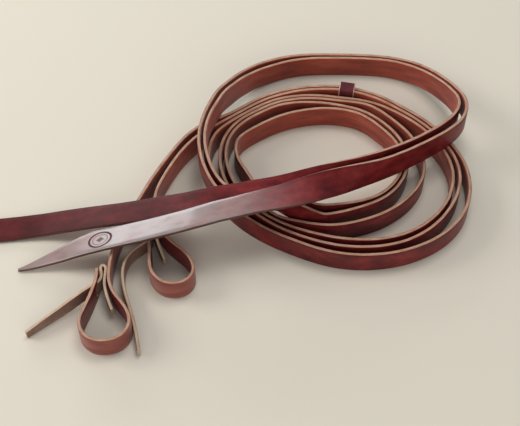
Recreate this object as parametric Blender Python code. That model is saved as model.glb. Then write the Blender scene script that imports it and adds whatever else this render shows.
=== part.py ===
"""A pair of western split reins, coiled together and laid down standing on edge.

Two flat leather straps run side by side three times round an oval coil, climb
over their own turns, swing round the back in one last wide loop and cross the
coil as two tails.  Each bit end is doubled back into a water loop, which a flat
leather tie holds shut: the tie passes through a slit in the turned-back end.
A small leather keeper rides on the two outer turns at the back.

Lengths below are in millimetres; build() turns them into metres.
"""
import bpy
import bmesh
import math
import numpy as np
from mathutils import Matrix, Vector

MM = 0.001

# ---- driving dimensions -------------------------------------------------
STRAP_W = 19.0          # strap width, 3/4 in
STRAP_T = 2.4           # strap thickness
TIE_W = 12.5            # tie width, 1/2 in
TIE_T = 2.2             # tie thickness
ON_EDGE = STRAP_W / 2   # centre height of a strap standing on the ground
OVER = 29.2             # centre height of a strap standing on the lower turns
COIL_C = (51.0, 25.6)   # centre of the coil in the layout plane
SHIFT = (119.06, -9.51)   # moves the layout onto the origin (box centre)
SLIT_LEN = 10.0         # slit the tie passes through
HINGE_GAP = 1.6         # clear length of strap left out at each flex line
TAIL_AXIS_Z = 41.5      # the tails fold up about a line just over their top faces
KEEPER_LEN = 11.0       # along the straps
KEEPER_T = 1.7          # leather thickness of the keeper
KEEPER_CLR = 0.45       # clearance of the keeper round the straps
KEEPER_ANG = 79.5       # where the keeper sits on the coil, degrees
KEEPER_LIFT = 2.3       # the two turns inside the keeper stand this much higher

# ---- the coil: one row per bearing from the coil centre -------------------
# Radii run from the outermost turn to the innermost: near strap, off strap,
# near, off, near, off.  Bearings are counter-clockwise from +X, in degrees.
FULL_ROWS = [
    (120, (79.0, 76.1, 73.1, 70.2, 67.2, 57.8)),
    (100, (74.3, 71.4, 67.6, 64.7, 60.8, 54.8)),
    (82, (73.4, 70.5, 64.8, 62.0, 57.6, 54.0)),
    (64, (73.6, 70.7, 67.0, 64.0, 57.0, 53.6)),
    (45, (76.6, 73.4, 70.4, 63.2, 56.2, 51.8)),
    (24, (84.6, 81.0, 77.2, 64.8, 56.0, 52.2)),
    (0, (95.4, 90.0, 85.2, 65.4, 53.0, 49.4)),
    (-24, (97.4, 87.4, 82.8, 58.4, 46.6, 42.6)),
    (-50, (86.0, 78.4, 72.6, 50.8, 39.6, 35.0)),
    (-75, (74.8, 68.2, 62.0, 47.6, 38.0, 31.6)),
    (-95, (69.0, 63.0, 57.2, 48.2, 39.8, 31.2)),
    (-118, (66.6, 61.6, 56.9, 51.0, None, None)),
    (-140, (71.2, 65.0, 61.2, 57.2, None, None)),
]
# on the left only four turns stand on the ground; each runs on as the turn
# two places further in on the next lap
LEFT_ROWS = [
    (-160, (79.2, 71.6, 66.8, 56.2)),
    (-175, (85.0, 77.0, 71.8, 59.2)),
    (-188, (88.4, 80.4, 76.0, 67.2)),
    (-200, (88.8, 81.4, 77.8, 71.6)),
    (-212, (82.8, 79.2, 75.8, 67.0)),
    (-226, (76.9, 74.0, 71.0, 61.4)),
]


def polar(deg, r):
    a = math.radians(deg)
    return (COIL_C[0] + r * math.cos(a), COIL_C[1] + r * math.sin(a))


def coil_points(col):
    """Centre-line points of one strap (0 near, 1 off) through its three laps."""
    pts = []
    for lap in range(3):
        for deg, radii in FULL_ROWS:
            r = radii[2 * lap + col]
            if r is None or (lap == 2 and deg < -60):
                continue
            lift = 0.0
            if lap == 0 and 45 <= deg <= 120:
                lift = KEEPER_LIFT if 60 <= deg <= 105 else KEEPER_LIFT * 0.3
            pts.append(polar(deg, r) + (ON_EDGE + lift, 0.0))
        if lap < 2:
            for deg, radii in LEFT_ROWS:
                pts.append(polar(deg, radii[2 * lap + col]) + (ON_EDGE, 0.0))
    return pts


# Each point is x, y, centre height, roll.  Roll 0 stands on edge, 90 lies flat.
def near_route():
    """Bit loop, neck, run-in, coil, climb, back loop and tail of the near strap."""
    loop = [(-109.9, -57.4), (-109.9, -64.0), (-112.0, -74.6), (-116.4, -88.4),
            (-118.6, -99.4), (-113.2, -109.0), (-102.6, -112.2), (-91.4, -108.6),
            (-86.0, -99.0), (-89.4, -87.0), (-96.6, -77.2), (-100.9, -67.5),
            (-101.7, -58.0), (-100.3, -44.0)]
    run_in = [(-95.2, -25.0), (-86.4, -5.4), (-77.6, 14.2), (-68.2, 31.6),
              (-59.8, 45.6), (-51.6, 56.4), (-42.0, 64.6), (-31.0, 70.6),
              (-17.9, 77.7), (-6.7, 85.4)]
    pts = [(x, y, ON_EDGE, 0.0) for x, y in loop + run_in]
    pts += coil_points(0)
    pts += [(46.5, -14.2, 10.6, 0), (34.6, -14.6, 15.8, 0), (23.0, -12.8, 23.0, 0),
            (12.6, -10.4, 28.6, 0), (2.0, -10.6, OVER, 0),
            (-10.0, -12.6, OVER, 0), (-20.6, -11.4, OVER, 0), (-28.4, -6.0, OVER, 0),
            (-34.2, 3.2, OVER, 0), (-38.4, 13.2, OVER, 0), (-41.6, 25.0, OVER, 0),
            (-42.9, 38.0, OVER, 0), (-41.8, 50.0, OVER, 0),
            (-38.6, 62.4, OVER, 0), (-33.2, 75.6, OVER, 0), (-23.0, 95.0, 21.6, 0),
            (-8.6, 114.6, 13.0, 0), (8.0, 125.4, 10.0, 0), (28.0, 130.6, ON_EDGE, 0),
            (52.0, 131.6, ON_EDGE, 0), (78.0, 130.8, ON_EDGE, 0),
            (101.0, 127.6, 9.9, 0), (121.0, 118.4, 12.0, 0), (135.0, 103.2, 16.6, 0),
            (143.6, 86.4, 23.0, 0), (147.6, 71.0, 28.4, 0), (145.8, 59.6, OVER, 0),
            (138.4, 49.4, OVER, 1), (126.4, 40.0, OVER, 3), (112.0, 31.0, OVER, 5),
            (98.0, 23.0, 29.5, 8), (84.0, 15.8, 30.6, 13), (69.0, 8.6, 33.4, 24),
            (55.0, 1.4, 37.2, 40), (41.0, -5.4, 40.6, 58), (27.0, -12.0, 43.2, 77),
            (13.5, -17.4, 44.8, 91), (0.0, -21.4, 45.7, 98), (-13.5, -25.5, 46.0, 101),
            (-27.0, -29.2, 45.8, 102), (-40.0, -32.2, 43.8, 102), (-53.5, -34.0, 39.8, 102),
            (-67.0, -35.3, 35.6, 102), (-81.0, -36.2, 30.9, 101), (-95.0, -36.6, 25.9, 100),
            (-109.0, -36.4, 20.0, 98), (-125.0, -36.4, 13.2, 96), (-142.0, -37.6, 7.0, 93),
            (-167.0, -40.0, 1.8, 90)]
    return pts


def off_route():
    """The off strap, inside the near one all the way round."""
    loop = [(-80.5, -21.2), (-77.8, -28.0), (-75.6, -38.0), (-75.0, -48.0),
            (-73.6, -57.4), (-68.0, -65.6), (-58.6, -68.8), (-49.2, -65.8),
            (-45.0, -57.6), (-48.6, -47.6), (-56.4, -39.6), (-64.4, -31.6),
            (-69.8, -22.0), (-72.6, -12.0)]
    run_in = [(-73.2, 2.0), (-67.8, 19.0), (-58.8, 36.8), (-50.0, 49.4),
              (-40.6, 58.6), (-29.0, 66.7), (-15.5, 75.9), (-4.6, 83.3)]
    pts = [(x, y, ON_EDGE, 0.0) for x, y in loop + run_in]
    pts += coil_points(1)
    pts += [(47.4, -6.4, 10.6, 0), (35.6, -7.2, 13.6, 0), (25.0, -6.4, 20.4, 0),
            (14.6, -5.8, 27.0, 0), (4.0, -6.2, OVER, 0),
            (-7.4, -8.0, OVER, 0), (-17.0, -7.0, OVER, 0), (-24.0, -2.4, OVER, 0),
            (-29.6, 5.0, OVER, 0), (-34.0, 14.4, OVER, 0), (-37.4, 26.0, OVER, 0),
            (-38.8, 38.4, OVER, 0), (-37.9, 49.6, OVER, 0),
            (-34.6, 61.4, OVER, 0), (-28.8, 74.0, OVER, 0), (-19.2, 92.2, 21.6, 0),
            (-5.6, 110.4, 13.0, 0), (10.0, 120.6, 10.0, 0), (29.0, 126.6, ON_EDGE, 0),
            (52.0, 128.2, ON_EDGE, 0), (78.0, 127.6, ON_EDGE, 0),
            (99.0, 124.6, 9.9, 0), (117.6, 115.8, 12.0, 0), (131.2, 101.4, 16.6, 0),
            (139.4, 85.4, 23.0, 0), (142.6, 71.6, 28.4, 0), (140.2, 62.6, OVER, 0),
            (133.0, 53.6, OVER, 1), (122.4, 45.0, OVER, 3), (110.6, 37.4, OVER, 5),
            (98.5, 30.6, 29.4, 8), (84.0, 23.4, 30.2, 12), (69.5, 16.4, 31.6, 20),
            (55.3, 9.4, 34.2, 33), (41.2, 2.8, 37.4, 50), (27.3, -3.2, 39.9, 69),
            (13.6, -7.2, 41.0, 84), (0.0, -9.6, 41.1, 91), (-13.6, -12.4, 41.0, 92),
            (-27.0, -14.8, 40.9, 92), (-40.5, -16.2, 38.6, 93), (-54.4, -16.2, 34.2, 94),
            (-68.4, -15.6, 29.4, 94), (-82.4, -15.3, 25.0, 95), (-96.6, -14.8, 20.6, 95),
            (-111.0, -13.8, 16.0, 95), (-125.4, -12.9, 11.2, 94), (-140.0, -12.6, 7.0, 94),
            (-154.3, -13.1, 3.6, 93), (-176.0, -15.2, 1.7, 90),
            (-212.0, -19.4, 1.4, 90), (-256.0, -25.6, 1.4, 90), (-304.0, -31.6, 1.4, 90),
            (-350.0, -34.8, 1.4, 90), (-387.0, -35.2, 1.4, 90)]
    return pts


def near_tie_route():
    return [(-98.6, -84.6, 7.6), (-102.2, -76.2, 8.6), (-104.3, -68.0, 9.3),
            (-104.5, -62.5, 9.5), (-104.2, -57.6, 9.5), (-104.7, -54.0, 9.5),
            (-106.7, -53.0, 9.5), (-107.6, -55.2, 9.5), (-107.0, -58.6, 9.5),
            (-106.9, -61.6, 9.5), (-107.9, -64.6, 9.5), (-111.4, -67.7, 9.3),
            (-117.4, -71.6, 8.6), (-125.4, -77.6, 7.4), (-134.8, -84.6, 6.6),
            (-144.8, -92.0, 6.35), (-155.2, -99.8, 6.3)]


def off_tie_route():
    return [(-65.4, -44.6, 7.6), (-69.0, -36.6, 8.6), (-71.9, -28.6, 9.3),
            (-74.2, -20.8, 9.5), (-76.2, -14.0, 9.5), (-78.4, -10.6, 9.5),
            (-80.8, -11.4, 9.5), (-80.6, -15.2, 9.5), (-78.0, -19.8, 9.5),
            (-75.4, -25.2, 9.5), (-75.3, -30.6, 9.5), (-78.9, -34.6, 9.3),
            (-84.6, -38.6, 8.4), (-90.6, -45.2, 7.2), (-93.0, -53.8, 6.6),
            (-92.2, -65.0, 6.4), (-88.6, -78.4, 6.3), (-83.6, -94.4, 6.3),
            (-79.6, -113.6, 6.3)]


# ---- curves ---------------------------------------------------------------
def smooth(points, step=0.5):
    """Natural cubic spline through points of any width, read evenly by length."""
    p = np.array(points, dtype=float)
    d = np.sqrt(np.linalg.norm(np.diff(p[:, :2], axis=0), axis=1))
    t = np.concatenate([[0.0], np.cumsum(d)])
    n = len(t)
    h = np.diff(t)
    a = np.zeros((n, n))
    b = np.zeros((n, p.shape[1]))
    a[0, 0] = a[-1, -1] = 1.0
    for i in range(1, n - 1):
        a[i, i - 1] = h[i - 1]
        a[i, i] = 2 * (h[i - 1] + h[i])
        a[i, i + 1] = h[i]
        b[i] = 3 * ((p[i + 1] - p[i]) / h[i] - (p[i] - p[i - 1]) / h[i - 1])
    c = np.linalg.solve(a, b)
    u = np.linspace(0, t[-1], int(t[-1] * 60))
    k = np.clip(np.searchsorted(t, u, side="right") - 1, 0, n - 2)
    dt = (u - t[k])[:, None]
    hk = h[k][:, None]
    bb = (p[k + 1] - p[k]) / hk - hk * (2 * c[k] + c[k + 1]) / 3
    dd = (c[k + 1] - c[k]) / (3 * hk)
    q = p[k] + bb * dt + c[k] * dt ** 2 + dd * dt ** 3
    # height and roll never swing past their given values
    slope = np.diff(p, axis=0) / h[:, None]
    m = np.zeros_like(p)
    up = slope[:-1] * slope[1:] > 0
    m[1:-1] = np.where(up, 2 * slope[:-1] * slope[1:] / np.where(up, slope[:-1] + slope[1:], 1.0), 0.0)
    w = dt / hk
    calm = ((1 + 2 * w) * (1 - w) ** 2 * p[k] + w * (1 - w) ** 2 * hk * m[k]
            + w * w * (3 - 2 * w) * p[k + 1] + w * w * (w - 1) * hk * m[k + 1])
    q[:, 2:] = calm[:, 2:]
    s = np.concatenate([[0.0], np.cumsum(np.linalg.norm(np.diff(q[:, :3], axis=0), axis=1))])
    count = max(2, int(round(s[-1] / step)))
    even = np.linspace(0, s[-1], count + 1)
    out = np.stack([np.interp(even, s, q[:, j]) for j in range(q.shape[1])], axis=1)
    return even, out


def frames(line, roll):
    """Tangent, width direction and thickness direction at each point."""
    tan = np.gradient(line, axis=0)
    tan /= np.linalg.norm(tan, axis=1)[:, None]
    up = np.array([0.0, 0.0, 1.0]) - tan * tan[:, 2:3]
    up /= np.linalg.norm(up, axis=1)[:, None]
    side = np.cross(tan, up)
    c, s = np.cos(np.radians(roll))[:, None], np.sin(np.radians(roll))[:, None]
    wide = c * up + s * side
    return tan, wide, np.cross(tan, wide)


def stations(s, line, start, end, sag=0.075):
    """Indices along the line, closer together where it bends more."""
    tan = np.gradient(line, axis=0)
    tan /= np.linalg.norm(tan, axis=1)[:, None]
    ds = s[1] - s[0]
    k = np.linalg.norm(np.gradient(tan, axis=0), axis=1) / ds
    k = np.convolve(np.pad(k, 6, mode="edge"), np.ones(13) / 13, mode="valid")
    gap = np.clip(np.sqrt(8 * sag / np.maximum(k, 1e-5)), 1.4, 9.0)
    i0, i1 = np.searchsorted(s, start), np.searchsorted(s, end)
    i1 = min(i1, len(s) - 1)
    load = np.concatenate([[0.0], np.cumsum(ds / gap[i0:i1])])
    count = max(2, int(math.ceil(load[-1])))
    want = np.linspace(0, load[-1], count + 1)
    idx = sorted(set(i0 + np.searchsorted(load, want[:-1])) | {i1})
    return np.array(idx)


def material(name, rgb, rough):
    mat = bpy.data.materials.new(name)
    mat.use_nodes = True
    node = mat.node_tree.nodes["Principled BSDF"]
    node.inputs["Base Color"].default_value = (*rgb, 1.0)
    node.inputs["Roughness"].default_value = rough
    node.inputs["Metallic"].default_value = 0.0
    return mat


def ribbon(name, route, width, thick, mat, start=0.0, end=None, edges=None, parent=None):
    """Sweep a flat strap section along a route; edges(s) trims the two sides."""
    s, q = smooth(route)
    line = q[:, :3]
    roll = q[:, 3] if q.shape[1] > 3 else np.zeros(len(q))
    tan, wide, out = frames(line, roll)
    end = s[-1] if end is None else end
    bm = bmesh.new()
    rings = []
    for i in stations(s, line, start, end):
        lo, hi = edges(s[i], s[-1]) if edges else (-width / 2, width / 2)
        half = thick / 2
        ring = []
        for a, b in ((lo, -half), (hi, -half), (hi, half), (lo, half)):
            co = (line[i] + wide[i] * a + out[i] * b) * MM
            ring.append(bm.verts.new((co[0] + SHIFT[0] * MM, co[1] + SHIFT[1] * MM, co[2])))
        rings.append(ring)
    for r0, r1 in zip(rings, rings[1:]):
        for j in range(4):
            k = (j + 1) % 4
            bm.faces.new((r0[j], r0[k], r1[k], r1[j]))
    bm.faces.new(rings[0][::-1])
    bm.faces.new(rings[-1])
    bmesh.ops.recalc_face_normals(bm, faces=bm.faces)
    me = bpy.data.meshes.new(name)
    bm.to_mesh(me)
    bm.free()
    me.materials.append(mat)
    ob = bpy.data.objects.new(name, me)
    bpy.context.scene.collection.objects.link(ob)
    if parent is not None:
        ob.parent = parent
        ob.matrix_parent_inverse = Matrix.Translation(-parent.location)
    return ob


def near_tip(s, total):
    """Tail end cut to a slanting point along its near edge."""
    half, run = STRAP_W / 2, 54.0
    u = max(0.0, (s - (total - run)) / run)
    return (-half, half - (STRAP_W - 1.6) * u ** 1.08)


def tie_ends(s, total):
    """The short end is cut square, the long end runs to a narrow tip."""
    half, run = TIE_W / 2, 40.0
    u = max(0.0, (s - (total - run)) / run)
    short = 3.2 * max(0.0, 1 - s / 14.0)
    return (-half + short * 0.6, half - short - 5.5 * u ** 1.4)


def empty(name, x, y, z):
    ob = bpy.data.objects.new(name, None)
    ob.location = ((x + SHIFT[0]) * MM, (y + SHIFT[1]) * MM, z * MM)
    bpy.context.scene.collection.objects.link(ob)
    return ob


def slit(target, x, y, z, length, height, bearing):
    """Cut a slit for the tie through a strap that stands on edge."""
    me = bpy.data.meshes.new(target.name + "_slit")
    bm = bmesh.new()
    bmesh.ops.create_cube(bm, size=1.0)
    bmesh.ops.scale(bm, vec=(length * MM, 9.0 * MM, height * MM), verts=bm.verts)
    bmesh.ops.rotate(bm, cent=(0, 0, 0), verts=bm.verts,
                     matrix=Matrix.Rotation(math.radians(bearing), 3, "Z"))
    bmesh.ops.translate(bm, verts=bm.verts,
                        vec=((x + SHIFT[0]) * MM, (y + SHIFT[1]) * MM, z * MM))
    bm.to_mesh(me)
    bm.free()
    cutter = bpy.data.objects.new(target.name + "_slit", me)
    bpy.context.scene.collection.objects.link(cutter)
    cutter.hide_render = True
    cutter.display_type = "WIRE"
    mod = target.modifiers.new("tie slit", "BOOLEAN")
    mod.operation = "DIFFERENCE"
    mod.solver = "EXACT"
    mod.object = cutter


def keeper(mat, parent):
    """A closed band of thin leather round the two outer turns."""
    r_out = FULL_ROWS[2][1][0] + STRAP_T / 2 + KEEPER_CLR + 0.15
    r_in = FULL_ROWS[2][1][1] - STRAP_T / 2 - KEEPER_CLR
    z_lo = KEEPER_LIFT - KEEPER_CLR
    z_hi = KEEPER_LIFT + STRAP_W + KEEPER_CLR
    t = KEEPER_T
    half = KEEPER_LEN / 2
    corner = 1.5

    def outline(a0, a1, b0, b1, r):
        pts = []
        for ca, cb, start in ((a1 - r, b1 - r, 0), (a0 + r, b1 - r, 90),
                              (a0 + r, b0 + r, 180), (a1 - r, b0 + r, 270)):
            for k in range(4):
                ang = math.radians(start + k * 30)
                pts.append((ca + r * math.cos(ang), cb + r * math.sin(ang)))
        return pts

    outer = outline(r_in - t, r_out + t, z_lo - t, z_hi + t, corner)
    inner = outline(r_in, r_out, z_lo, z_hi, 0.3)
    a = math.radians(KEEPER_ANG)
    radial = np.array([math.cos(a), math.sin(a)])
    along = np.array([-math.sin(a), math.cos(a)])
    bm = bmesh.new()

    def loop(pts, v):
        out = []
        for r, z in pts:
            xy = np.array(COIL_C) + radial * r + along * v
            out.append(bm.verts.new(((xy[0] + SHIFT[0]) * MM, (xy[1] + SHIFT[1]) * MM, z * MM)))
        return out

    oa, ob_, ia, ib = loop(outer, -half), loop(outer, half), loop(inner, -half), loop(inner, half)
    n = len(outer)
    for j in range(n):
        k = (j + 1) % n
        bm.faces.new((oa[j], oa[k], ob_[k], ob_[j]))
        bm.faces.new((ia[j], ib[j], ib[k], ia[k]))
        bm.faces.new((oa[j], ia[j], ia[k], oa[k]))
        bm.faces.new((ob_[j], ob_[k], ib[k], ib[j]))
    bmesh.ops.recalc_face_normals(bm, faces=bm.faces)
    me = bpy.data.meshes.new("coil_keeper")
    bm.to_mesh(me)
    bm.free()
    me.materials.append(mat)
    ob = bpy.data.objects.new("coil_keeper", me)
    bpy.context.scene.collection.objects.link(ob)
    ob.parent = parent
    ob.matrix_parent_inverse = Matrix.Translation(-parent.location)
    return ob


def cut_at(route, x=None, y=None, after=0.0):
    """Length along the route where it first crosses a line after a given length."""
    s, q = smooth(route)
    v = (q[:, 0] - x) if x is not None else (q[:, 1] - y)
    hits = np.where((v[:-1] * v[1:] <= 0) & (s[:-1] > after))[0]
    return s[hits[0]], q[hits[0]]


def build():
    for ob in list(bpy.data.objects):
        bpy.data.objects.remove(ob, do_unlink=True)

    leather = material("oxblood_leather", (0.17, 0.035, 0.028), 0.38)
    tie_leather = material("tie_leather", (0.30, 0.13, 0.075), 0.55)
    keeper_leather = material("keeper_leather", (0.15, 0.03, 0.03), 0.42)

    near, off = near_route(), off_route()
    s_near, _ = smooth(near)
    s_off, _ = smooth(off)
    # flex lines: the necks of the bit loops, and where the tails leave the coil
    n_neck, n_neck_p = cut_at(near, y=-44.0, after=120.0)
    o_neck, o_neck_p = cut_at(off, y=-12.0, after=110.0)
    n_tail, n_tail_p = cut_at(near, x=-52.0, after=s_near[-1] - 260.0)
    o_tail, o_tail_p = cut_at(off, x=-52.0, after=s_off[-1] - 460.0)
    g = HINGE_GAP / 2

    near_pivot = empty("near_neck_axis", n_neck_p[0], n_neck_p[1], ON_EDGE)
    off_pivot = empty("off_neck_axis", o_neck_p[0], o_neck_p[1], ON_EDGE)
    mid = (n_tail_p + o_tail_p) / 2
    tail_pivot = empty("tail_axis", mid[0], mid[1], TAIL_AXIS_Z)
    coil_pivot = empty("coil_axis", COIL_C[0], COIL_C[1], 0.0)

    ribbon("near_rein_coil", near, STRAP_W, STRAP_T, leather, n_neck + g, n_tail - g)
    ribbon("off_rein_coil", off, STRAP_W, STRAP_T, leather, o_neck + g, o_tail - g)
    ribbon("near_rein_tail", near, STRAP_W, STRAP_T, leather, n_tail + g, None, near_tip, tail_pivot)
    ribbon("off_rein_tail", off, STRAP_W, STRAP_T, leather, o_tail + g, None, near_tip, tail_pivot)
    nb = ribbon("near_bit_loop", near, STRAP_W, STRAP_T, leather, 0.0, n_neck - g, None, near_pivot)
    ob = ribbon("off_bit_loop", off, STRAP_W, STRAP_T, leather, 0.0, o_neck - g, None, off_pivot)
    slit(nb, -110.5, -67.0, 9.4, SLIT_LEN, TIE_W + 1.2, 78.0)
    slit(ob, -76.9, -32.6, 9.4, SLIT_LEN, TIE_W + 1.2, -78.0)
    ribbon("near_loop_tie", near_tie_route(), TIE_W, TIE_T, tie_leather, 0.0, None, tie_ends, near_pivot)
    ribbon("off_loop_tie", off_tie_route(), TIE_W, TIE_T, tie_leather, 0.0, None, tie_ends, off_pivot)
    keeper(keeper_leather, coil_pivot)


build()
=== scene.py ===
import bpy
import bmesh
import math
import numpy as np
from mathutils import Matrix, Vector


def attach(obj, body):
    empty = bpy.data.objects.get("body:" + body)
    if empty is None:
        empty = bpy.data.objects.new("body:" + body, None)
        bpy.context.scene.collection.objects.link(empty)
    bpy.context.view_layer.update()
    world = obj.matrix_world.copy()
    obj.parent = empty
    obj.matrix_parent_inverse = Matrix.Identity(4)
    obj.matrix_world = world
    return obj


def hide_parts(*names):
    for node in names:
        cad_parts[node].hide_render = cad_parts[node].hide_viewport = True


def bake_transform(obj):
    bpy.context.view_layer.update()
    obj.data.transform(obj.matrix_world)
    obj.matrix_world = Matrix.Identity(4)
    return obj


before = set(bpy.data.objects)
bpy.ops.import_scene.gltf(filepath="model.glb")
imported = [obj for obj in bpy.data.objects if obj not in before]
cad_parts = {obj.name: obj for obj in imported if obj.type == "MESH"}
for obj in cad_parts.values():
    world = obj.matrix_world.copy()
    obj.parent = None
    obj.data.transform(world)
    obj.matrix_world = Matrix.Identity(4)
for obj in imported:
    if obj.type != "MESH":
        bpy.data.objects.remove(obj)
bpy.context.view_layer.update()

MM = 0.001
STRAP_W, STRAP_T = 19.0, 2.4
TIE_W, TIE_T = 12.5, 2.2
ON_EDGE = STRAP_W / 2
OVER = 29.2
COIL_C = (51.0, 25.6)
SHIFT = (119.06, -9.51)
SLIT_LEN = 10.0
KEEPER_LEN, KEEPER_T, KEEPER_CLR = 11.0, 1.7, 0.45
KEEPER_ANG, KEEPER_LIFT = 79.5, 2.3

# ---------------------------------------------------------------- camera
cam_data = bpy.data.cameras.new("camera")
cam_data.sensor_width = 36.0
cam_data.lens = 90.0
cam_data.clip_start = 0.05
cam = bpy.data.objects.new("camera", cam_data)
bpy.context.scene.collection.objects.link(cam)
LOOK = math.radians(56.0)
DIST = 0.922
cam.location = (SHIFT[0] * MM, SHIFT[1] * MM - DIST * math.cos(LOOK), DIST * math.sin(LOOK))
cam.rotation_euler = (math.pi / 2 - LOOK, 0.0, 0.0)
bpy.context.scene.camera = cam

# ---------------------------------------------------------------- routes, as in the CAD
FULL_ROWS = [
    (120, (79.0, 76.1, 73.1, 70.2, 67.2, 57.8)),
    (100, (74.3, 71.4, 67.6, 64.7, 60.8, 54.8)),
    (82, (73.4, 70.5, 64.8, 62.0, 57.6, 54.0)),
    (64, (73.6, 70.7, 67.0, 64.0, 57.0, 53.6)),
    (45, (76.6, 73.4, 70.4, 63.2, 56.2, 51.8)),
    (24, (84.6, 81.0, 77.2, 64.8, 56.0, 52.2)),
    (0, (95.4, 90.0, 85.2, 65.4, 53.0, 49.4)),
    (-24, (97.4, 87.4, 82.8, 58.4, 46.6, 42.6)),
    (-50, (86.0, 78.4, 72.6, 50.8, 39.6, 35.0)),
    (-75, (74.8, 68.2, 62.0, 47.6, 38.0, 31.6)),
    (-95, (69.0, 63.0, 57.2, 48.2, 39.8, 31.2)),
    (-118, (66.6, 61.6, 56.9, 51.0, None, None)),
    (-140, (71.2, 65.0, 61.2, 57.2, None, None)),
]
LEFT_ROWS = [
    (-160, (79.2, 71.6, 66.8, 56.2)),
    (-175, (85.0, 77.0, 71.8, 59.2)),
    (-188, (88.4, 80.4, 76.0, 67.2)),
    (-200, (88.8, 81.4, 77.8, 71.6)),
    (-212, (82.8, 79.2, 75.8, 67.0)),
    (-226, (76.9, 74.0, 71.0, 61.4)),
]


def polar(deg, r):
    a = math.radians(deg)
    return (COIL_C[0] + r * math.cos(a), COIL_C[1] + r * math.sin(a))


def coil_points(col):
    pts = []
    for lap in range(3):
        for deg, radii in FULL_ROWS:
            r = radii[2 * lap + col]
            if r is None or (lap == 2 and deg < -60):
                continue
            lift = 0.0
            if lap == 0 and 45 <= deg <= 120:
                lift = KEEPER_LIFT if 60 <= deg <= 105 else KEEPER_LIFT * 0.3
            pts.append(polar(deg, r) + (ON_EDGE + lift, 0.0))
        if lap < 2:
            for deg, radii in LEFT_ROWS:
                pts.append(polar(deg, radii[2 * lap + col]) + (ON_EDGE, 0.0))
    return pts


def near_route():
    loop = [(-109.9, -57.4), (-109.9, -64.0), (-112.0, -74.6), (-116.4, -88.4),
            (-118.6, -99.4), (-113.2, -109.0), (-102.6, -112.2), (-91.4, -108.6),
            (-86.0, -99.0), (-89.4, -87.0), (-96.6, -77.2), (-100.9, -67.5),
            (-101.7, -58.0), (-100.3, -44.0)]
    run_in = [(-95.2, -25.0), (-86.4, -5.4), (-77.6, 14.2), (-68.2, 31.6),
              (-59.8, 45.6), (-51.6, 56.4), (-42.0, 64.6), (-31.0, 70.6),
              (-17.9, 77.7), (-6.7, 85.4)]
    pts = [(x, y, ON_EDGE, 0.0) for x, y in loop + run_in]
    pts += coil_points(0)
    pts += [(46.5, -14.2, 10.6, 0), (34.6, -14.6, 15.8, 0), (23.0, -12.8, 23.0, 0),
            (12.6, -10.4, 28.6, 0), (2.0, -10.6, OVER, 0),
            (-10.0, -12.6, OVER, 0), (-20.6, -11.4, OVER, 0), (-28.4, -6.0, OVER, 0),
            (-34.2, 3.2, OVER, 0), (-38.4, 13.2, OVER, 0), (-41.6, 25.0, OVER, 0),
            (-42.9, 38.0, OVER, 0), (-41.8, 50.0, OVER, 0),
            (-38.6, 62.4, OVER, 0), (-33.2, 75.6, OVER, 0), (-23.0, 95.0, 21.6, 0),
            (-8.6, 114.6, 13.0, 0), (8.0, 125.4, 10.0, 0), (28.0, 130.6, ON_EDGE, 0),
            (52.0, 131.6, ON_EDGE, 0), (78.0, 130.8, ON_EDGE, 0),
            (101.0, 127.6, 9.9, 0), (121.0, 118.4, 12.0, 0), (135.0, 103.2, 16.6, 0),
            (143.6, 86.4, 23.0, 0), (147.6, 71.0, 28.4, 0), (145.8, 59.6, OVER, 0),
            (138.4, 49.4, OVER, 1), (126.4, 40.0, OVER, 3), (112.0, 31.0, OVER, 5),
            (98.0, 23.0, 29.5, 8), (84.0, 15.8, 30.6, 13), (69.0, 8.6, 33.4, 24),
            (55.0, 1.4, 37.2, 40), (41.0, -5.4, 40.6, 58), (27.0, -12.0, 43.2, 77),
            (13.5, -17.4, 44.8, 91), (0.0, -21.4, 45.7, 98), (-13.5, -25.5, 46.0, 101),
            (-27.0, -29.2, 45.8, 102), (-40.0, -32.2, 43.8, 102), (-53.5, -34.0, 39.8, 102),
            (-67.0, -35.3, 35.6, 102), (-81.0, -36.2, 30.9, 101), (-95.0, -36.6, 25.9, 100),
            (-109.0, -36.4, 20.0, 98), (-125.0, -36.4, 13.2, 96), (-142.0, -37.6, 7.0, 93),
            (-167.0, -40.0, 1.8, 90)]
    return pts


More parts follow.
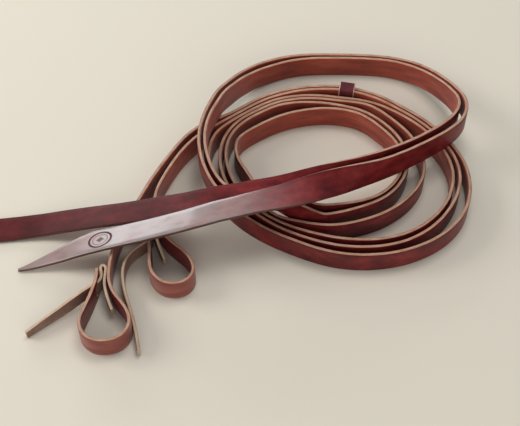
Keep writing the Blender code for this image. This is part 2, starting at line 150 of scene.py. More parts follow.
def off_route():
    loop = [(-80.5, -21.2), (-77.8, -28.0), (-75.6, -38.0), (-75.0, -48.0),
            (-73.6, -57.4), (-68.0, -65.6), (-58.6, -68.8), (-49.2, -65.8),
            (-45.0, -57.6), (-48.6, -47.6), (-56.4, -39.6), (-64.4, -31.6),
            (-69.8, -22.0), (-72.6, -12.0)]
    run_in = [(-73.2, 2.0), (-67.8, 19.0), (-58.8, 36.8), (-50.0, 49.4),
              (-40.6, 58.6), (-29.0, 66.7), (-15.5, 75.9), (-4.6, 83.3)]
    pts = [(x, y, ON_EDGE, 0.0) for x, y in loop + run_in]
    pts += coil_points(1)
    pts += [(47.4, -6.4, 10.6, 0), (35.6, -7.2, 13.6, 0), (25.0, -6.4, 20.4, 0),
            (14.6, -5.8, 27.0, 0), (4.0, -6.2, OVER, 0),
            (-7.4, -8.0, OVER, 0), (-17.0, -7.0, OVER, 0), (-24.0, -2.4, OVER, 0),
            (-29.6, 5.0, OVER, 0), (-34.0, 14.4, OVER, 0), (-37.4, 26.0, OVER, 0),
            (-38.8, 38.4, OVER, 0), (-37.9, 49.6, OVER, 0),
            (-34.6, 61.4, OVER, 0), (-28.8, 74.0, OVER, 0), (-19.2, 92.2, 21.6, 0),
            (-5.6, 110.4, 13.0, 0), (10.0, 120.6, 10.0, 0), (29.0, 126.6, ON_EDGE, 0),
            (52.0, 128.2, ON_EDGE, 0), (78.0, 127.6, ON_EDGE, 0),
            (99.0, 124.6, 9.9, 0), (117.6, 115.8, 12.0, 0), (131.2, 101.4, 16.6, 0),
            (139.4, 85.4, 23.0, 0), (142.6, 71.6, 28.4, 0), (140.2, 62.6, OVER, 0),
            (133.0, 53.6, OVER, 1), (122.4, 45.0, OVER, 3), (110.6, 37.4, OVER, 5),
            (98.5, 30.6, 29.4, 8), (84.0, 23.4, 30.2, 12), (69.5, 16.4, 31.6, 20),
            (55.3, 9.4, 34.2, 33), (41.2, 2.8, 37.4, 50), (27.3, -3.2, 39.9, 69),
            (13.6, -7.2, 41.0, 84), (0.0, -9.6, 41.1, 91), (-13.6, -12.4, 41.0, 92),
            (-27.0, -14.8, 40.9, 92), (-40.5, -16.2, 38.6, 93), (-54.4, -16.2, 34.2, 94),
            (-68.4, -15.6, 29.4, 94), (-82.4, -15.3, 25.0, 95), (-96.6, -14.8, 20.6, 95),
            (-111.0, -13.8, 16.0, 95), (-125.4, -12.9, 11.2, 94), (-140.0, -12.6, 7.0, 94),
            (-154.3, -13.1, 3.6, 93), (-176.0, -15.2, 1.7, 90),
            (-212.0, -19.4, 1.4, 90), (-256.0, -25.6, 1.4, 90), (-304.0, -31.6, 1.4, 90),
            (-350.0, -34.8, 1.4, 90), (-387.0, -35.2, 1.4, 90)]
    return pts


def near_tie_route():
    return [(-98.6, -84.6, 7.6), (-102.2, -76.2, 8.6), (-104.3, -68.0, 9.3),
            (-104.5, -62.5, 9.5), (-104.2, -57.6, 9.5), (-104.7, -54.0, 9.5),
            (-106.7, -53.0, 9.5), (-107.6, -55.2, 9.5), (-107.0, -58.6, 9.5),
            (-106.9, -61.6, 9.5), (-107.9, -64.6, 9.5), (-111.4, -67.7, 9.3),
            (-117.4, -71.6, 8.6), (-125.4, -77.6, 7.4), (-134.8, -84.6, 6.6),
            (-144.8, -92.0, 6.35), (-155.2, -99.8, 6.3)]


def off_tie_route():
    return [(-65.4, -44.6, 7.6), (-69.0, -36.6, 8.6), (-71.9, -28.6, 9.3),
            (-74.2, -20.8, 9.5), (-76.2, -14.0, 9.5), (-78.4, -10.6, 9.5),
            (-80.8, -11.4, 9.5), (-80.6, -15.2, 9.5), (-78.0, -19.8, 9.5),
            (-75.4, -25.2, 9.5), (-75.3, -30.6, 9.5), (-78.9, -34.6, 9.3),
            (-84.6, -38.6, 8.4), (-90.6, -45.2, 7.2), (-93.0, -53.8, 6.6),
            (-92.2, -65.0, 6.4), (-88.6, -78.4, 6.3), (-83.6, -94.4, 6.3),
            (-79.6, -113.6, 6.3)]


def smooth(points, step=0.5):
    p = np.array(points, dtype=float)
    d = np.sqrt(np.linalg.norm(np.diff(p[:, :2], axis=0), axis=1))
    t = np.concatenate([[0.0], np.cumsum(d)])
    n = len(t)
    h = np.diff(t)
    a = np.zeros((n, n))
    b = np.zeros((n, p.shape[1]))
    a[0, 0] = a[-1, -1] = 1.0
    for i in range(1, n - 1):
        a[i, i - 1] = h[i - 1]
        a[i, i] = 2 * (h[i - 1] + h[i])
        a[i, i + 1] = h[i]
        b[i] = 3 * ((p[i + 1] - p[i]) / h[i] - (p[i] - p[i - 1]) / h[i - 1])
    c = np.linalg.solve(a, b)
    u = np.linspace(0, t[-1], int(t[-1] * 60))
    k = np.clip(np.searchsorted(t, u, side="right") - 1, 0, n - 2)
    dt = (u - t[k])[:, None]
    hk = h[k][:, None]
    bb = (p[k + 1] - p[k]) / hk - hk * (2 * c[k] + c[k + 1]) / 3
    dd = (c[k + 1] - c[k]) / (3 * hk)
    q = p[k] + bb * dt + c[k] * dt ** 2 + dd * dt ** 3
    slope = np.diff(p, axis=0) / h[:, None]
    m = np.zeros_like(p)
    up = slope[:-1] * slope[1:] > 0
    m[1:-1] = np.where(up, 2 * slope[:-1] * slope[1:] / np.where(up, slope[:-1] + slope[1:], 1.0), 0.0)
    w = dt / hk
    calm = ((1 + 2 * w) * (1 - w) ** 2 * p[k] + w * (1 - w) ** 2 * hk * m[k]
            + w * w * (3 - 2 * w) * p[k + 1] + w * w * (w - 1) * hk * m[k + 1])
    q[:, 2:] = calm[:, 2:]
    s = np.concatenate([[0.0], np.cumsum(np.linalg.norm(np.diff(q[:, :3], axis=0), axis=1))])
    count = max(2, int(round(s[-1] / step)))
    even = np.linspace(0, s[-1], count + 1)
    out = np.stack([np.interp(even, s, q[:, j]) for j in range(q.shape[1])], axis=1)
    return even, out


def frames(line, roll):
    tan = np.gradient(line, axis=0)
    tan /= np.linalg.norm(tan, axis=1)[:, None]
    up = np.array([0.0, 0.0, 1.0]) - tan * tan[:, 2:3]
    up /= np.linalg.norm(up, axis=1)[:, None]
    side = np.cross(tan, up)
    c, s = np.cos(np.radians(roll))[:, None], np.sin(np.radians(roll))[:, None]
    wide = c * up + s * side
    return tan, wide, np.cross(tan, wide)


def near_tip(s, total):
    half, run = STRAP_W / 2, 54.0
    u = max(0.0, (s - (total - run)) / run)
    return (-half, half - (STRAP_W - 1.6) * u ** 1.08)


def tie_ends(s, total):
    half, run = TIE_W / 2, 40.0
    u = max(0.0, (s - (total - run)) / run)
    short = 3.2 * max(0.0, 1 - s / 14.0)
    return (-half + short * 0.6, half - short - 5.5 * u ** 1.4)


def to_world(p):
    return np.array([(p[..., 0] + SHIFT[0]) * MM, (p[..., 1] + SHIFT[1]) * MM, p[..., 2] * MM]).T


# ---------------------------------------------------------------- materials
def nodes_of(name):
    mat = bpy.data.materials.new(name)
    mat.use_nodes = True
    nt = mat.node_tree
    nt.nodes.clear()
    out = nt.nodes.new("ShaderNodeOutputMaterial")
    bsdf = nt.nodes.new("ShaderNodeBsdfPrincipled")
    nt.links.new(bsdf.outputs[0], out.inputs[0])
    return mat, nt, bsdf


class Net:
    """Small helper to wire shader nodes."""

    def __init__(self, nt):
        self.nt = nt

    def put(self, socket, value):
        if hasattr(value, "is_linked") or hasattr(value, "links"):
            self.nt.links.new(value, socket)
        else:
            socket.default_value = value

    def math(self, op, a, b=0.0, clamp=False):
        n = self.nt.nodes.new("ShaderNodeMath")
        n.operation = op
        n.use_clamp = clamp
        self.put(n.inputs[0], a)
        self.put(n.inputs[1], b)
        return n.outputs[0]

    def mix(self, fac, a, b):
        n = self.nt.nodes.new("ShaderNodeMix")
        n.data_type = "RGBA"
        self.put(n.inputs[0], fac)
        self.put(n.inputs[6], a)
        self.put(n.inputs[7], b)
        return n.outputs[2]

    def uv(self, sx, sy):
        tc = self.nt.nodes.new("ShaderNodeUVMap")
        tc.uv_map = "along"
        mp = self.nt.nodes.new("ShaderNodeMapping")
        mp.inputs["Scale"].default_value = (sx, sy, 1.0)
        self.nt.links.new(tc.outputs[0], mp.inputs[0])
        return mp.outputs[0]

    def split(self, vec):
        n = self.nt.nodes.new("ShaderNodeSeparateXYZ")
        self.nt.links.new(vec, n.inputs[0])
        return n.outputs

    def noise(self, vec, scale, detail=4.0, rough=0.55):
        n = self.nt.nodes.new("ShaderNodeTexNoise")
        self.nt.links.new(vec, n.inputs["Vector"])
        n.inputs["Scale"].default_value = scale
        n.inputs["Detail"].default_value = detail
        n.inputs["Roughness"].default_value = rough
        return n.outputs[0]

    def cells(self, vec, scale, feature="F1"):
        n = self.nt.nodes.new("ShaderNodeTexVoronoi")
        n.feature = feature
        self.nt.links.new(vec, n.inputs["Vector"])
        n.inputs["Scale"].default_value = scale
        return n.outputs["Distance"]

    def ramp(self, fac, stops):
        n = self.nt.nodes.new("ShaderNodeValToRGB")
        self.nt.links.new(fac, n.inputs[0])
        e = n.color_ramp.elements
        while len(e) > 1:
            e.remove(e[-1])
        e[0].position, e[0].color = stops[0][0], (*stops[0][1], 1.0)
        for pos, col in stops[1:]:
            x = e.new(pos)
            x.color = (*col, 1.0)
        return n.outputs[0]

    def bump(self, height, strength, distance, normal=None):
        n = self.nt.nodes.new("ShaderNodeBump")
        n.inputs["Strength"].default_value = strength
        n.inputs["Distance"].default_value = distance
        self.nt.links.new(height, n.inputs["Height"])
        if normal is not None:
            self.nt.links.new(normal, n.inputs["Normal"])
        return n.outputs[0]


def grain(name, dark, mid, light, rough=0.40, stamp=None, gloss=0.12, spec=0.24, painted_light_and_coat=None):
    """Polished hair side: fine pores, faint creases, burnished darker sides."""
    mat, nt, bsdf = nodes_of(name)
    k = Net(nt)
    uv = k.uv(1.0, 1.0)                      # metres along, metres across
    tone = k.noise(k.uv(38.0, 60.0), 1.0, 5.0, 0.6)
    col = k.ramp(tone, [(0.30, dark), (0.52, mid), (0.76, light)])
    blotch = k.noise(k.uv(150.0, 190.0), 1.0, 4.0, 0.62)
    col = k.mix(k.math("MULTIPLY", k.math("SUBTRACT", blotch, 0.46, clamp=True), 2.4, clamp=True), col, (*dark, 1.0))
    fine = k.noise(k.uv(900.0, 1500.0), 1.0, 3.0, 0.6)
    col = k.mix(k.math("MULTIPLY", fine, 0.22), col, (*dark, 1.0))
    across = k.math("ABSOLUTE", k.split(uv)[1])
    side = k.math("MULTIPLY", k.math("SUBTRACT", across, 0.0066, clamp=True), 330.0, clamp=True)
    col = k.mix(k.math("MULTIPLY", side, 0.45), col, (*dark, 1.0))
    pores = k.cells(k.uv(1500.0, 1500.0), 1.0)
    creases = k.noise(k.uv(120.0, 900.0), 1.0, 4.0, 0.7)
    n1 = k.bump(pores, 0.22, 0.00006)
    n2 = k.bump(creases, 0.30, 0.00012, n1)
    line = k.math("SUBTRACT", 1.0, k.math("MULTIPLY", k.math("ABSOLUTE", k.math("SUBTRACT", across, 0.0079)), 3300.0, clamp=True))
    n3 = k.bump(k.math("MULTIPLY", line, -1.0), 0.5, 0.00018, n2)
    coat_in = gloss
    if painted_light_and_coat is not None:
        # towards the strap's end the coat weight changes gradually and the base colour is mixed towards a painted
        # tone: a painted pale reflection on the near tail, painted shade on the off tail
        start, full, painted_tone, amount, coat_to, worn = painted_light_and_coat
        painted_light_and_coat_ramp = k.math("DIVIDE", k.math("SUBTRACT", k.split(uv)[0], start), full - start, clamp=True)
        painted_light_and_coat_ramp = k.math("MULTIPLY", k.math("MULTIPLY", painted_light_and_coat_ramp, painted_light_and_coat_ramp), k.math("SUBTRACT", 3.0, k.math("MULTIPLY", painted_light_and_coat_ramp, 2.0)))
        patch = k.noise(k.uv(62.0, 150.0), 1.0, 3.0, 0.6)
        painted_light_and_coat_ramp = k.math("MULTIPLY", painted_light_and_coat_ramp, k.math("ADD", 0.58, k.math("MULTIPLY", patch, 0.84)), clamp=True)
        # painted reflection colour: rose where the painted glare is faint, the pale tone where it is full
        painted_glare_tint = k.mix(painted_light_and_coat_ramp, (0.43, 0.135, 0.150, 1.0), (*painted_tone, 1.0))
        col = k.mix(k.math("MULTIPLY", painted_light_and_coat_ramp, amount), col, painted_glare_tint if worn is not None else (*painted_tone, 1.0))
        if worn is not None:
            # the shine is handled off over the last stretch
            bare = k.math("DIVIDE", k.math("SUBTRACT", k.split(uv)[0], worn[0]), worn[1] - worn[0], clamp=True)
            painted_light_and_coat_ramp = k.math("MULTIPLY", painted_light_and_coat_ramp, k.math("SUBTRACT", 1.0, k.math("MULTIPLY", bare, 0.48)))
        coat_in = k.math("ADD", gloss, k.math("MULTIPLY", painted_light_and_coat_ramp, coat_to - gloss))
    if stamp is not None:
        u0, half_u, half_v = stamp
        xyz = k.split(uv)
        du = k.math("DIVIDE", k.math("SUBTRACT", xyz[0], u0), half_u)
        dv = k.math("DIVIDE", xyz[1], half_v)
        rr = k.math("SQRT", k.math("ADD", k.math("MULTIPLY", du, du), k.math("MULTIPLY", dv, dv)))
        ring = k.math("SUBTRACT", 1.0, k.math("MULTIPLY", k.math("ABSOLUTE", k.math("SUBTRACT", rr, 0.90)), 9.0), clamp=True)
        ring = k.math("MULTIPLY", ring, 2.2, clamp=True)
        # a thin second oval and a small lozenge, all plain
        thin = k.math("SUBTRACT", 1.0, k.math("MULTIPLY", k.math("ABSOLUTE", k.math("SUBTRACT", rr, 0.60)), 16.0), clamp=True)
        lozenge = k.math("LESS_THAN", k.math("ADD", k.math("ABSOLUTE", du), k.math("ABSOLUTE", dv)), 0.34)
        mark = k.math("MAXIMUM", ring, k.math("MAXIMUM", k.math("MULTIPLY", thin, 0.8), k.math("MULTIPLY", lozenge, 0.75)))
        col = k.mix(k.math("MULTIPLY", mark, 0.92), col, (0.075, 0.010, 0.016, 1.0))
        coat_in = k.math("MULTIPLY", coat_in, k.math("SUBTRACT", 1.0, mark))
        n3 = k.bump(k.math("MULTIPLY", mark, -1.0), 0.9, 0.0003, n3)
        rough_in = k.math("ADD", k.math("MULTIPLY", mark, 0.35), k.math("ADD", rough - 0.06, k.math("MULTIPLY", tone, 0.12)))
    else:
        rough_in = k.math("ADD", rough - 0.06, k.math("MULTIPLY", tone, 0.12))
    k.put(bsdf.inputs["Base Color"], col)
    k.put(bsdf.inputs["Roughness"], rough_in)
    k.put(bsdf.inputs["Normal"], n3)
    k.put(bsdf.inputs["Coat Weight"], coat_in)
    bsdf.inputs["Coat Roughness"].default_value = 0.17
    bsdf.inputs["Coat IOR"].default_value = 1.6
    bsdf.inputs["Specular IOR Level"].default_value = spec
    return mat


def flesh(name, dark, mid, light):
    """Slicked inner side: duller, fibrous, running along the strap."""
    mat, nt, bsdf = nodes_of(name)
    k = Net(nt)
    tone = k.noise(k.uv(30.0, 120.0), 1.0, 5.0, 0.6)
    col = k.ramp(tone, [(0.28, dark), (0.52, mid), (0.78, light)])
    fibre = k.noise(k.uv(500.0, 3200.0), 1.0, 4.0, 0.7)
    col = k.mix(k.math("MULTIPLY", fibre, 0.30), col, (*dark, 1.0))
    speck = k.cells(k.uv(900.0, 900.0), 1.0)
    n1 = k.bump(fibre, 0.45, 0.00014)
    n2 = k.bump(speck, 0.25, 0.00008, n1)
    k.put(bsdf.inputs["Base Color"], col)
    k.put(bsdf.inputs["Roughness"], k.math("ADD", 0.42, k.math("MULTIPLY", fibre, 0.2)))
    k.put(bsdf.inputs["Normal"], n2)
    bsdf.inputs["Sheen Weight"].default_value = 0.12
    bsdf.inputs["Sheen Roughness"].default_value = 0.5
    bsdf.inputs["Specular IOR Level"].default_value = 0.32
    return mat


def cut_edge(name, dark, mid, light):
    """Cut edge: pale leather core with darker random tone and fine layers along it."""
    mat, nt, bsdf = nodes_of(name)
    k = Net(nt)
    tone = k.noise(k.uv(130.0, 900.0), 1.0, 5.0, 0.65)
    col = k.ramp(tone, [(0.26, dark), (0.50, mid), (0.74, light)])
    layers = k.noise(k.uv(260.0, 5200.0), 1.0, 3.0, 0.6)
    col = k.mix(k.math("MULTIPLY", layers, 0.22), col, (*dark, 1.0))
    n1 = k.bump(layers, 0.55, 0.0002)
    k.put(bsdf.inputs["Base Color"], col)
    k.put(bsdf.inputs["Roughness"], k.math("ADD", 0.46, k.math("MULTIPLY", tone, 0.2)))
    k.put(bsdf.inputs["Normal"], n1)
    return mat


BURGUNDY = dict(dark=(0.058, 0.0050, 0.0065), mid=(0.174, 0.0150, 0.0160), light=(0.290, 0.037, 0.033))
m_grain = grain("rein_grain", **BURGUNDY)
m_flesh = flesh("rein_flesh", (0.150, 0.018, 0.008), (0.350, 0.050, 0.022), (0.500, 0.110, 0.057))
m_loop_flesh = flesh("loop_flesh", (0.125, 0.024, 0.015), (0.285, 0.062, 0.040), (0.430, 0.135, 0.092))
m_edge = cut_edge("rein_edge", (0.195, 0.098, 0.056), (0.400, 0.232, 0.150), (0.600, 0.400, 0.300))
m_tail_edge = cut_edge("tail_edge", (0.110, 0.042, 0.028), (0.230, 0.105, 0.076), (0.400, 0.225, 0.170))
# near-black lower edge for the reins: painted shade where the edge faces down into shadow
m_painted_shade_edge = cut_edge("under_edge", (0.036, 0.012, 0.010), (0.085, 0.030, 0.023), (0.165, 0.070, 0.052))

m_tie_face = flesh("tie_face", (0.12, 0.066, 0.044), (0.24, 0.150, 0.110), (0.38, 0.270, 0.210))
m_tie_grain = grain("tie_grain", (0.12, 0.060, 0.044), (0.22, 0.125, 0.092), (0.33, 0.210, 0.165), rough=0.42, gloss=0.15)
m_tie_edge = cut_edge("tie_edge", (0.34, 0.215, 0.135), (0.52, 0.365, 0.245), (0.68, 0.52, 0.38))
m_keeper = grain("keeper_grain", (0.050, 0.007, 0.010), (0.105, 0.016, 0.020), (0.16, 0.030, 0.032), rough=0.40, gloss=0.25)
m_keeper_edge = cut_edge("keeper_edge", (0.42, 0.20, 0.17), (0.60, 0.36, 0.31), (0.72, 0.50, 0.44))


# ---------------------------------------------------------------- strap mesh
FACE_SEGS = 6
CORNER_SEGS = 3


def section(lo, hi, thick, corner):
    """Closed outline (across, depth, region) with rounded corners; region 0 grain, 1 flesh, 2 and 3 the edges."""
    h = thick / 2
    r = min(corner, h * 0.9, (hi - lo) * 0.35)
    pts = []

    def arc(cx, cy, a0):
        for j in range(CORNER_SEGS + 1):
            a = math.radians(a0 + 90.0 * j / CORNER_SEGS)
            pts.append((cx + r * math.cos(a), cy + r * math.sin(a)))

    # across axis first, depth second; depth > 0 is the flesh side
    arc(hi - r, h - r, 0)
    for j in range(1, FACE_SEGS):
        pts.append((hi - r + (lo + r - hi + r) * j / FACE_SEGS, h))
    arc(lo + r, h - r, 90)
    arc(lo + r, -h + r, 180)
    for j in range(1, FACE_SEGS):
        pts.append((lo + r + (hi - r - lo - r) * j / FACE_SEGS, -h))
    arc(hi - r, -h + r, 270)
    # spans follow the points in order; the dye wraps round each corner to the cut edge
    turn = CORNER_SEGS - 1
    region = [2] + [1] * turn               # hi corner, flesh side
    region += [1] * FACE_SEGS               # flesh face
    region += [1] * turn + [3]              # lo corner, flesh side
    # the lo edge takes a strap's fourth material where one is given; on the reins that is the near-black edge,
    # painted shade
    region += [3]                           # lo edge
    region += [3] + [0] * turn              # lo corner, grain side
    region += [0] * FACE_SEGS               # grain face
    region += [0] * turn + [2]              # hi corner, grain side
    region += [2]                           # hi edge back to start
    return pts, region


def strap(name, route, width, thick, mats, start=0.0, end=None, edges=None, corner=0.55,
          step=2.0, caps=(True, True), belly=0.0):
    s, q = smooth(route)
    line, roll = q[:, :3], (q[:, 3] if q.shape[1] > 3 else np.zeros(len(q)))
    tan, wide, out = frames(line, roll)
    total = s[-1]
    end = total if end is None else end
    i0, i1 = np.searchsorted(s, start), min(np.searchsorted(s, end), len(s) - 1)
    k = np.linalg.norm(np.gradient(tan, axis=0), axis=1) / (s[1] - s[0])
    k = np.convolve(np.pad(k, 6, mode="edge"), np.ones(13) / 13, mode="valid")
    gap = np.clip(np.sqrt(8 * 0.006 / np.maximum(k, 1e-5)), 0.5, step)
    load = np.concatenate([[0.0], np.cumsum((s[1] - s[0]) / gap[i0:i1])])
    want = np.linspace(0, load[-1], max(2, int(math.ceil(load[-1]))) + 1)
    idx = np.unique(np.concatenate([i0 + np.searchsorted(load, want[:-1]), [i0, i1]]))
    idx = idx[(idx >= i0) & (idx <= i1)]
    me = bpy.data.meshes.new(name)
    bm = bmesh.new()
    uv_layer = bm.loops.layers.uv.new("along")
    rings, coords = [], []
    for i in idx:
        lo, hi = edges(s[i], total) if edges else (-width / 2, width / 2)
        pts, region = section(lo, hi, thick, corner)
        ring = []
        for a, b in pts:
            ring.append(bm.verts.new(to_world(line[i] + wide[i] * a + out[i] * b)))
        rings.append(ring)
        coords.append((s[i], pts))
    n = len(region)
    for (r0, (s0, p0)), (r1, (s1, p1)) in zip(zip(rings, coords), zip(rings[1:], coords[1:])):
        for j in range(n):
            jj = (j + 1) % n
            f = bm.faces.new((r0[j], r1[j], r1[jj], r0[jj]))
            f.material_index = min(region[j], len(mats) - 1)
            f.smooth = True
            for loop, (sv, pv, jx) in zip(f.loops, ((s0, p0, j), (s1, p1, j), (s1, p1, jj), (s0, p0, jj))):
                a, b = pv[jx]
                cross = a if region[j] < 2 else b
                loop[uv_layer].uv = (sv * MM, cross * MM)
    for do, ring, flip in ((caps[0], rings[0], False), (caps[1], rings[-1], True)):
        if do:
            f = bm.faces.new(ring if flip else ring[::-1])
            f.material_index = 2
            for loop in f.loops:
                loop[uv_layer].uv = (loop.vert.co.x, loop.vert.co.z)
    bmesh.ops.recalc_face_normals(bm, faces=bm.faces)
    bm.to_mesh(me)
    bm.free()
    for m in mats:
        me.materials.append(m)
    me.set_sharp_from_angle(angle=math.radians(50))
    ob = bpy.data.objects.new(name, me)
    bpy.context.scene.collection.objects.link(ob)
    path = [tuple(to_world(line[i])) for i in idx]
    length = (s[idx[-1]] - s[idx[0]]) * MM
    return ob, path, length


def where(route, x=None, y=None, after=0.0):
    s, q = smooth(route)
    v = (q[:, 0] - x) if x is not None else (q[:, 1] - y)
    hits = np.where((v[:-1] * v[1:] <= 0) & (s[:-1] > after))[0]
    return s[hits[0]], q[hits[0]]


NEAR, OFF = near_route(), off_route()
near_total, off_total = smooth(NEAR)[0][-1], smooth(OFF)[0][-1]
near_join, _ = where(NEAR, y=-12.0, after=120.0)      # on the strap past the neck
off_join, _ = where(OFF, y=16.0, after=110.0)
near_part, _ = where(NEAR, x=-24.0, after=near_total - 260.0)
off_part, _ = where(OFF, x=-24.0, after=off_total - 460.0)

MATS = (m_grain, m_loop_flesh, m_edge)
s_stamp, _ = where(NEAR, x=-108.6, after=near_total - 200.0)
near_far = [where(NEAR, x=x, after=near_total - 300.0)[0] * MM for x in (56.0, -40.0)]
near_worn = [where(NEAR, x=x, after=near_total - 200.0)[0] * MM for x in (-98.0, -118.0)]
off_far = [where(OFF, x=x, after=off_total - 560.0)[0] * MM for x in (20.0, -80.0)]
# the near tail's base colour carries a painted reflection of the window light over its far end, pale with a rose
# fringe
m_near_grain_painted_glare = grain("near_grain_tooled_painted_glare", **BURGUNDY, rough=0.38, stamp=(s_stamp * MM, 0.0094, 0.0070), gloss=0.06, spec=0.15,
                     painted_light_and_coat=(*near_far, (0.41, 0.40, 0.375), 0.44, 0.92, near_worn))
# the off tail's base colour is darkened towards its end: painted shade
m_off_grain_painted_shade = grain("off_grain", **BURGUNDY, rough=0.46, gloss=0.08, spec=0.16,
                    painted_light_and_coat=(*off_far, (0.036, 0.012, 0.012), 0.55, 0.03, None))

near_bit, near_bit_path, near_bit_len = strap("near_bit_loop_leather", NEAR, STRAP_W, STRAP_T, MATS, 0.0, near_join, caps=(True, False))
near_coil, near_coil_path, near_coil_len = strap("near_rein_leather", NEAR, STRAP_W, STRAP_T, (m_near_grain_painted_glare, m_flesh, m_edge, m_painted_shade_edge), near_join, near_part, caps=(False, False))
near_tail, near_tail_path, near_tail_len = strap("near_tail_leather", NEAR, STRAP_W, STRAP_T, (m_near_grain_painted_glare, m_flesh, m_tail_edge, m_painted_shade_edge), near_part, None, near_tip, caps=(False, True))
off_bit, off_bit_path, off_bit_len = strap("off_bit_loop_leather", OFF, STRAP_W, STRAP_T, MATS, 0.0, off_join, caps=(True, False))
off_coil, off_coil_path, off_coil_len = strap("off_rein_leather", OFF, STRAP_W, STRAP_T, (m_off_grain_painted_shade, m_flesh, m_edge, m_painted_shade_edge), off_join, off_part, caps=(False, False))
off_tail, off_tail_path, off_tail_len = strap("off_tail_leather", OFF, STRAP_W, STRAP_T, (m_off_grain_painted_shade, m_flesh, m_tail_edge, m_painted_shade_edge), off_part, None, near_tip, caps=(False, True))
TIE_MATS = (m_tie_grain, m_tie_face, m_tie_edge)
near_tie, near_tie_path, near_tie_len = strap("near_tie_leather", near_tie_route(), TIE_W, TIE_T, TIE_MATS, edges=tie_ends, corner=0.5, step=1.2)
off_tie, off_tie_path, off_tie_len = strap("off_tie_leather", off_tie_route(), TIE_W, TIE_T, TIE_MATS, edges=tie_ends, corner=0.5, step=1.2)


def cut_slit(target, x, y, z, length, height, bearing):
    """A round-ended slit through both faces of the strap's turned-back end."""
    me = bpy.data.meshes.new("slit_tool")
    bm = bmesh.new()
    half, r = height / 2, min(length, height) / 2
    ring = []
    for j in range(24):
        a = 2 * math.pi * j / 24
        cx = (length / 2 - r) * (1 if math.cos(a) > 0 else -1)
        cz = (half - r) * (1 if math.sin(a) > 0 else -1)
        ring.append((cx + r * math.cos(a), cz + r * math.sin(a)))
    front = [bm.verts.new((u * MM, -4.5 * MM, w * MM)) for u, w in ring]
    back = [bm.verts.new((u * MM, 4.5 * MM, w * MM)) for u, w in ring]
    bm.faces.new(front)
    bm.faces.new(back[::-1])
    for j in range(24):
        jj = (j + 1) % 24
        bm.faces.new((front[j], back[j], back[jj], front[jj]))
    bmesh.ops.recalc_face_normals(bm, faces=bm.faces)
    bmesh.ops.rotate(bm, cent=(0, 0, 0), verts=bm.verts, matrix=Matrix.Rotation(math.radians(bearing), 3, "Z"))
    bmesh.ops.translate(bm, verts=bm.verts, vec=((x + SHIFT[0]) * MM, (y + SHIFT[1]) * MM, z * MM))
    bm.to_mesh(me)
    bm.free()
    me.materials.append(m_edge)
    tool = bpy.data.objects.new("slit_tool", me)
    bpy.context.scene.collection.objects.link(tool)
    mod = target.modifiers.new("slit", "BOOLEAN")
    mod.operation, mod.solver, mod.object = "DIFFERENCE", "EXACT", tool
    bpy.context.view_layer.update()
    made = bpy.data.meshes.new_from_object(target.evaluated_get(bpy.context.evaluated_depsgraph_get()))
    target.modifiers.clear()
    target.data = made
    bpy.data.objects.remove(tool, do_unlink=True)


cut_slit(near_bit, -110.5, -67.0, 9.4, SLIT_LEN, TIE_W + 1.2, 78.0)
cut_slit(off_bit, -76.9, -32.6, 9.4, SLIT_LEN, TIE_W + 1.2, -78.0)


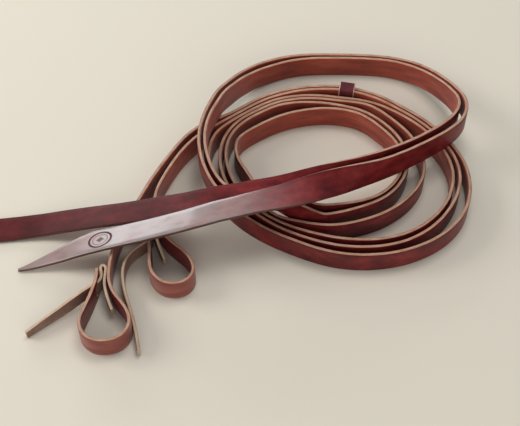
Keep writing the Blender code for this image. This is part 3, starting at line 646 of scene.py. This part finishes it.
# ---------------------------------------------------------------- keeper
def keeper_band():
    r_out = FULL_ROWS[2][1][0] + STRAP_T / 2 + KEEPER_CLR + 0.15
    r_in = FULL_ROWS[2][1][1] - STRAP_T / 2 - KEEPER_CLR
    z_lo, z_hi = KEEPER_LIFT - KEEPER_CLR, KEEPER_LIFT + STRAP_W + KEEPER_CLR
    t, half = KEEPER_T, KEEPER_LEN / 2
    a = math.radians(KEEPER_ANG)
    radial, along = np.array([math.cos(a), math.sin(a)]), np.array([-math.sin(a), math.cos(a)])

    def outline(grow, r, per=6, side=5):
        a0, a1, b0, b1 = r_in - grow, r_out + grow, z_lo - grow, z_hi + grow
        pts = []
        for ca, cb, st, nxt in ((a1 - r, b1 - r, 0, (-1, 0)), (a0 + r, b1 - r, 90, (0, -1)),
                                (a0 + r, b0 + r, 180, (1, 0)), (a1 - r, b0 + r, 270, (0, 1))):
            for j in range(per + 1):
                ang = math.radians(st + 90.0 * j / per)
                pts.append((ca + r * math.cos(ang), cb + r * math.sin(ang)))
            run = (a1 - a0 - 2 * r) if nxt[0] else (b1 - b0 - 2 * r)
            for j in range(1, side):
                e = pts[-1] if j == 1 else e0
                if j == 1:
                    e0 = pts[-1]
                pts.append((e0[0] + nxt[0] * run * j / side, e0[1] + nxt[1] * run * j / side))
        return pts

    bm = bmesh.new()
    uv_layer = bm.loops.layers.uv.new("along")
    c = 0.45
    # profile across the band: outer face, rounded rims, inner face
    prof = []
    for j in range(5):
        ang = math.radians(90.0 * j / 4)
        prof.append((half - c + c * math.sin(ang), t - c + c * math.cos(ang)))
    for j in range(5):
        ang = math.radians(90.0 * j / 4)
        prof.append((half - c + c * math.cos(ang), c - c * math.sin(ang)))
    prof = prof + [(-v, g) for v, g in prof[::-1]]
    loops = []
    for v, g in prof:
        pts = outline(g, 0.35 + g * 0.75)
        loops.append([bm.verts.new(((COIL_C[0] + radial[0] * r + along[0] * v + SHIFT[0]) * MM,
                                    (COIL_C[1] + radial[1] * r + along[1] * v + SHIFT[1]) * MM, z * MM)) for r, z in pts])
    n = len(loops[0])
    rim = set(range(0, 9)) | set(range(10, 19))
    for p in range(len(prof)):
        q2 = (p + 1) % len(prof)
        for j in range(n):
            jj = (j + 1) % n
            f = bm.faces.new((loops[p][j], loops[p][jj], loops[q2][jj], loops[q2][j]))
            f.smooth = True
            f.material_index = 1 if p in rim else 0
            for loop, (pv, jv) in zip(f.loops, ((p, j), (p, jj), (q2, jj), (q2, j))):
                uvv = prof[pv][0] if p not in rim else prof[pv][1]
                loop[uv_layer].uv = (jv * 1.6 * MM, uvv * MM)
    bmesh.ops.recalc_face_normals(bm, faces=bm.faces)
    me = bpy.data.meshes.new("keeper_leather")
    bm.to_mesh(me)
    bm.free()
    me.materials.append(m_keeper)
    me.materials.append(m_keeper_edge)
    me.set_sharp_from_angle(angle=math.radians(50))
    ob = bpy.data.objects.new("keeper_leather", me)
    bpy.context.scene.collection.objects.link(ob)
    return ob


keeper = keeper_band()

# ---------------------------------------------------------------- bodies
def w(x, y, z):
    return ((x + SHIFT[0]) * MM, (y + SHIFT[1]) * MM, z * MM)


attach(near_coil, "coil")
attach(off_coil, "coil")
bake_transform(near_tail)
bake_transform(off_tail)
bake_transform(near_bit)
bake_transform(off_bit)
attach(near_tie, "near_bit_end")
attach(off_tie, "off_bit_end")
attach(keeper, "keeper")
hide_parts("near_rein_coil")
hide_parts("off_rein_coil")
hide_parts("near_rein_tail")
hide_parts("off_rein_tail")
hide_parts("near_bit_loop")
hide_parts("off_bit_loop")
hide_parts("near_loop_tie")
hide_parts("off_loop_tie")
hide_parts("coil_keeper")

# ---------------------------------------------------------------- floor and light
me = bpy.data.meshes.new("floor")
bm = bmesh.new()
bmesh.ops.create_grid(bm, x_segments=1, y_segments=1, size=3.0)
bm.to_mesh(me)
bm.free()
floor = bpy.data.objects.new("floor", me)
floor.location = (0, 0, -0.0002)
bpy.context.scene.collection.objects.link(floor)
mat, nt, bsdf = nodes_of("floor")
bsdf.inputs["Base Color"].default_value = (0.635, 0.585, 0.495, 1.0)
bsdf.inputs["Roughness"].default_value = 0.75
bsdf.inputs["Specular IOR Level"].default_value = 0.2
me.materials.append(mat)

world = bpy.data.worlds.new("studio")
bpy.context.scene.world = world
world.use_nodes = True
bg = world.node_tree.nodes["Background"]
bg.inputs[0].default_value = (0.93, 0.96, 1.0, 1.0)
bg.inputs[1].default_value = 0.34


def area(name, pos, aim, size, energy, color=(1, 1, 1), glossy=True):
    data = bpy.data.lights.new(name, "AREA")
    data.shape = "RECTANGLE"
    data.size, data.size_y = size
    data.energy = energy
    data.color = color
    ob = bpy.data.objects.new(name, data)
    ob.location = pos
    ob.rotation_euler = (Vector(aim) - Vector(pos)).to_track_quat("-Z", "Y").to_euler()
    ob.visible_glossy = glossy
    bpy.context.scene.collection.objects.link(ob)
    return ob


area("overhead", (0.30, 0.30, 1.5), (0.0, 0.0, 0.0), (0.6, 0.6), 9.0, glossy=False)
area("window_back", (-0.47, 1.26, 0.46), (-0.02, 0.0, 0.02), (1.25, 0.42), 8.4, (0.90, 0.97, 0.98))
area("window_left", (-1.13, 0.2, 0.80), (0.0, 0.0, 0.0), (0.7, 0.7), 11.0, (1.0, 0.98, 0.95))
area("front_fill", (0.3, -1.3, 0.75), (0.05, 0.0, 0.0), (1.6, 1.0), 7.5, (1.0, 0.98, 0.95), glossy=False)
bpy.context.scene.view_settings.view_transform = "Standard"
